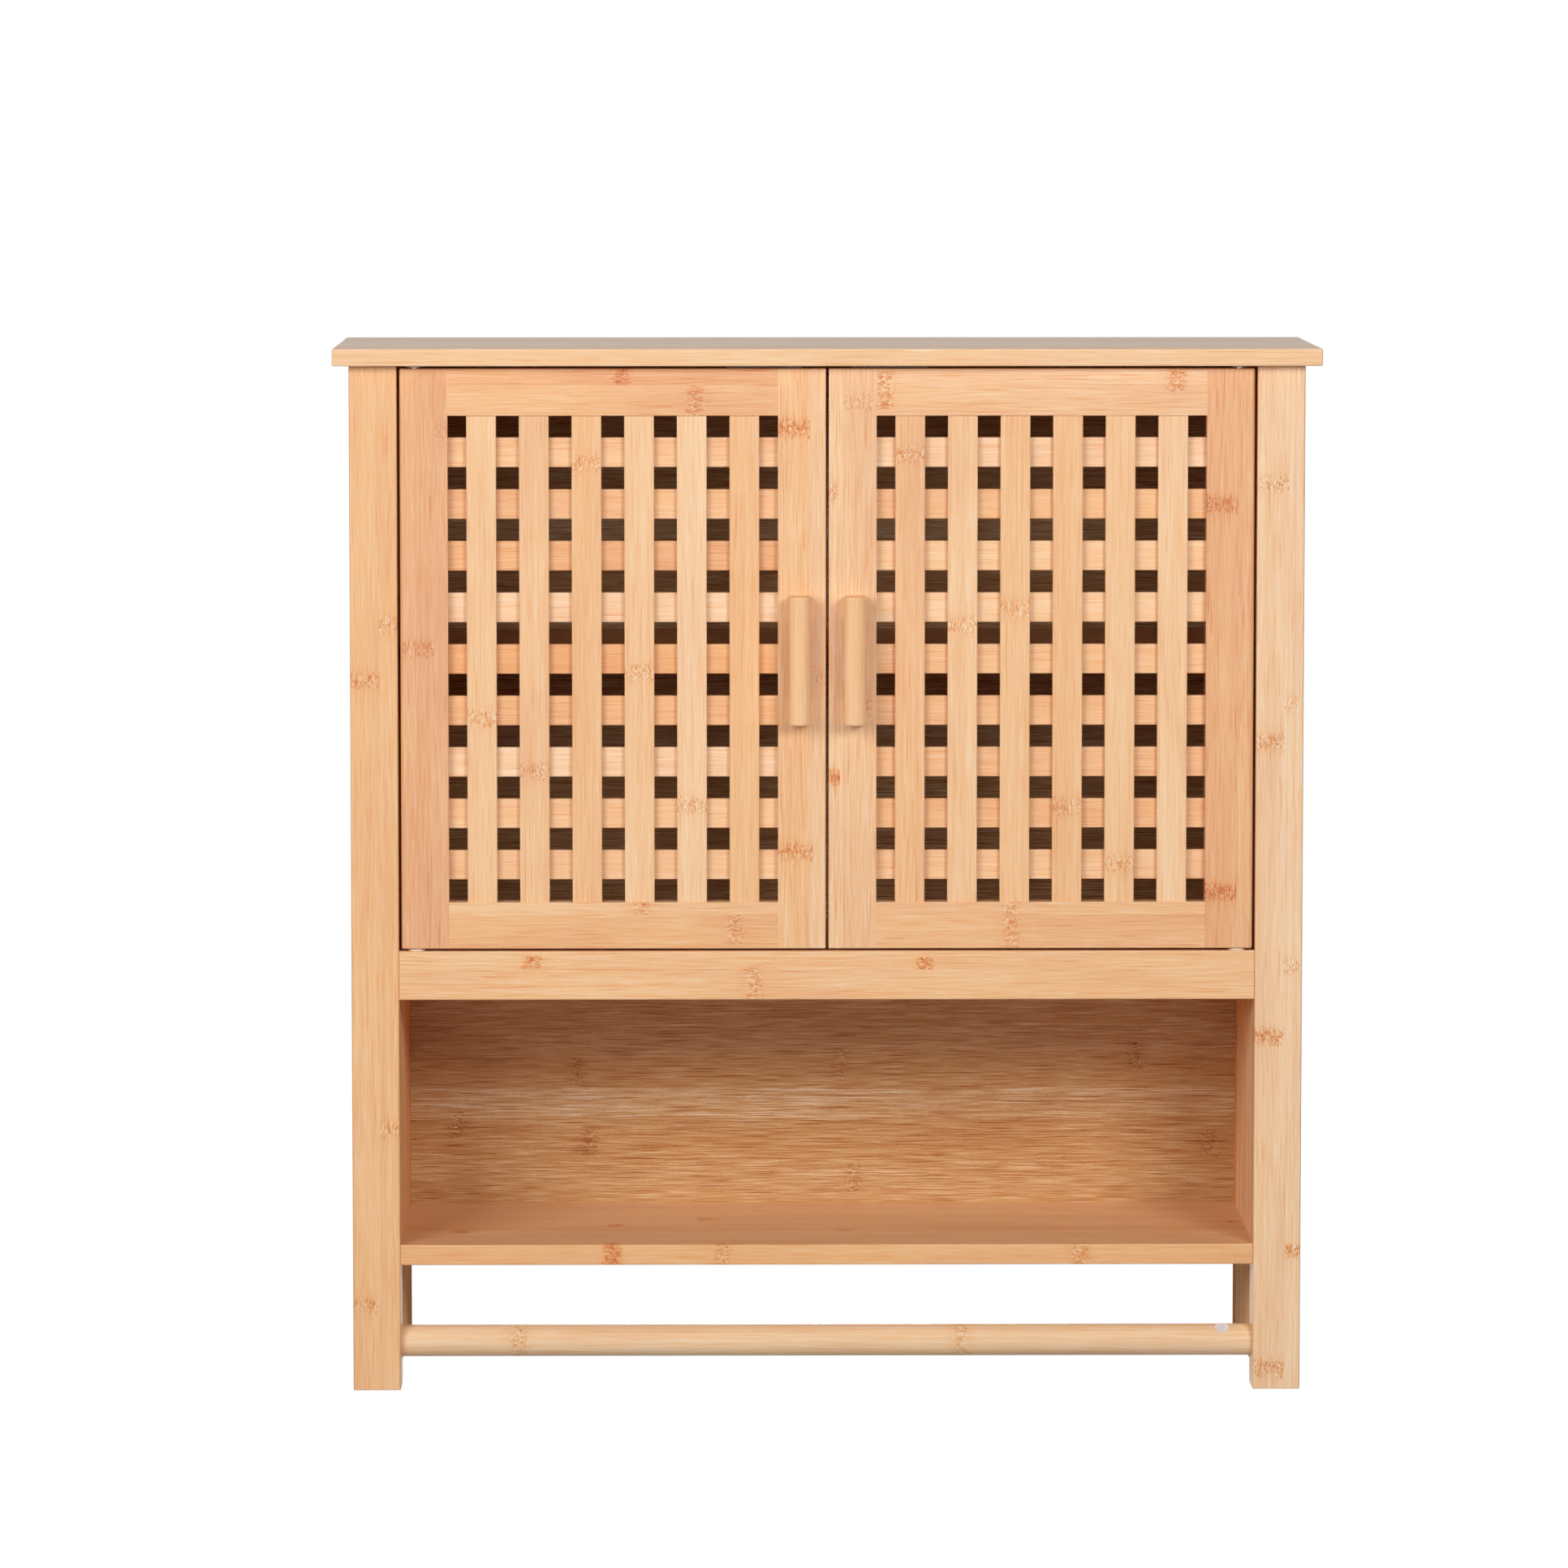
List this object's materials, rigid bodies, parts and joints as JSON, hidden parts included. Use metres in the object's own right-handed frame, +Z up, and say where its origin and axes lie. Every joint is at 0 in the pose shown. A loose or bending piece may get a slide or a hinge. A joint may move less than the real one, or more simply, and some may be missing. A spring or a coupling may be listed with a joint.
{
  "type": "bathroom wall cabinet",
  "caption": "Bamboo bathroom wall cabinet with lattice doors on pin pivots, an inner shelf, an open bay, a round towel bar and keyhole hanging plates.",
  "frame": {"origin": "on the wall plane, midway between the round ends of the two keyholes that the cabinet hangs on", "axes": "+X to the right as seen from the front, +Y into the wall, +Z up"},
  "size_m": [0.62, 0.21, 0.66],
  "materials": {
    "bamboo": "laminated bamboo with a satin clear coat",
    "back_panel_bamboo": "thin bamboo panel with level grain, satin",
    "dowel_wood": "fluted beech dowel, unfinished",
    "zinc_plated_steel": "bright zinc plate",
    "bright_steel": "plain ground steel",
    "cast_zinc": "cast zinc, matte",
    "nylon": "natural nylon",
    "white_plastic": "moulded plastic, fine texture",
    "magnet": "pressed ferrite"
  },
  "bodies": {
    "cabinet": {"top_board": "bamboo", "left_front_post": "bamboo", "right_front_post": "bamboo", "left_rear_post": "bamboo", "right_rear_post": "bamboo", "left_side_panel": "bamboo", "right_side_panel": "bamboo", "back_panel": "back_panel_bamboo", "apron_rail": "bamboo", "floor_board": "bamboo", "inner_shelf": "bamboo", "lower_shelf": "bamboo", "towel_bar": "bamboo", "shelf_pins": "zinc_plated_steel", "cam_locks": "cast_zinc", "cam_bolts": "zinc_plated_steel", "bar_cam_lock": "cast_zinc", "large_dowels": "dowel_wood", "small_dowels": "dowel_wood", "pivot_bushes": "nylon", "catch_housings": "white_plastic", "catch_magnets": "magnet", "catch_pole_plates": "bright_steel", "catch_screws": "zinc_plated_steel", "hanging_plates": "zinc_plated_steel", "hanging_plate_screws": "zinc_plated_steel"},
    "left_door": {"left_door_hinge_stile": "bamboo", "left_door_meeting_stile": "bamboo", "left_door_top_rail": "bamboo", "left_door_bottom_rail": "bamboo", "left_door_level_slats": "bamboo", "left_door_upright_slat_1": "bamboo", "left_door_upright_slat_2": "bamboo", "left_door_upright_slat_3": "bamboo", "left_door_upright_slat_4": "bamboo", "left_door_upright_slat_5": "bamboo", "left_door_upright_slat_6": "bamboo", "left_door_handle": "bamboo", "left_door_handle_screws": "zinc_plated_steel", "left_door_pivot_pins": "bright_steel", "left_door_strike_plate": "bright_steel", "left_door_strike_screw": "zinc_plated_steel"},
    "right_door": {"right_door_hinge_stile": "bamboo", "right_door_meeting_stile": "bamboo", "right_door_top_rail": "bamboo", "right_door_bottom_rail": "bamboo", "right_door_level_slats": "bamboo", "right_door_upright_slat_1": "bamboo", "right_door_upright_slat_2": "bamboo", "right_door_upright_slat_3": "bamboo", "right_door_upright_slat_4": "bamboo", "right_door_upright_slat_5": "bamboo", "right_door_upright_slat_6": "bamboo", "right_door_handle": "bamboo", "right_door_handle_screws": "zinc_plated_steel", "right_door_pivot_pins": "bright_steel", "right_door_strike_plate": "bright_steel", "right_door_strike_screw": "zinc_plated_steel"}
  },
  "joints": [
    {"name": "left_door_hinge", "type": "hinge", "parent": "cabinet", "child": "left_door", "pos_m": [-0.2588, -0.1835, -0.13565], "axis": [0, 0, -1], "range_deg": [0, 110]},
    {"name": "right_door_hinge", "type": "hinge", "parent": "cabinet", "child": "right_door", "pos_m": [0.2588, -0.1835, -0.13565], "axis": [0, 0, 1], "range_deg": [0, 110]}
  ]
}
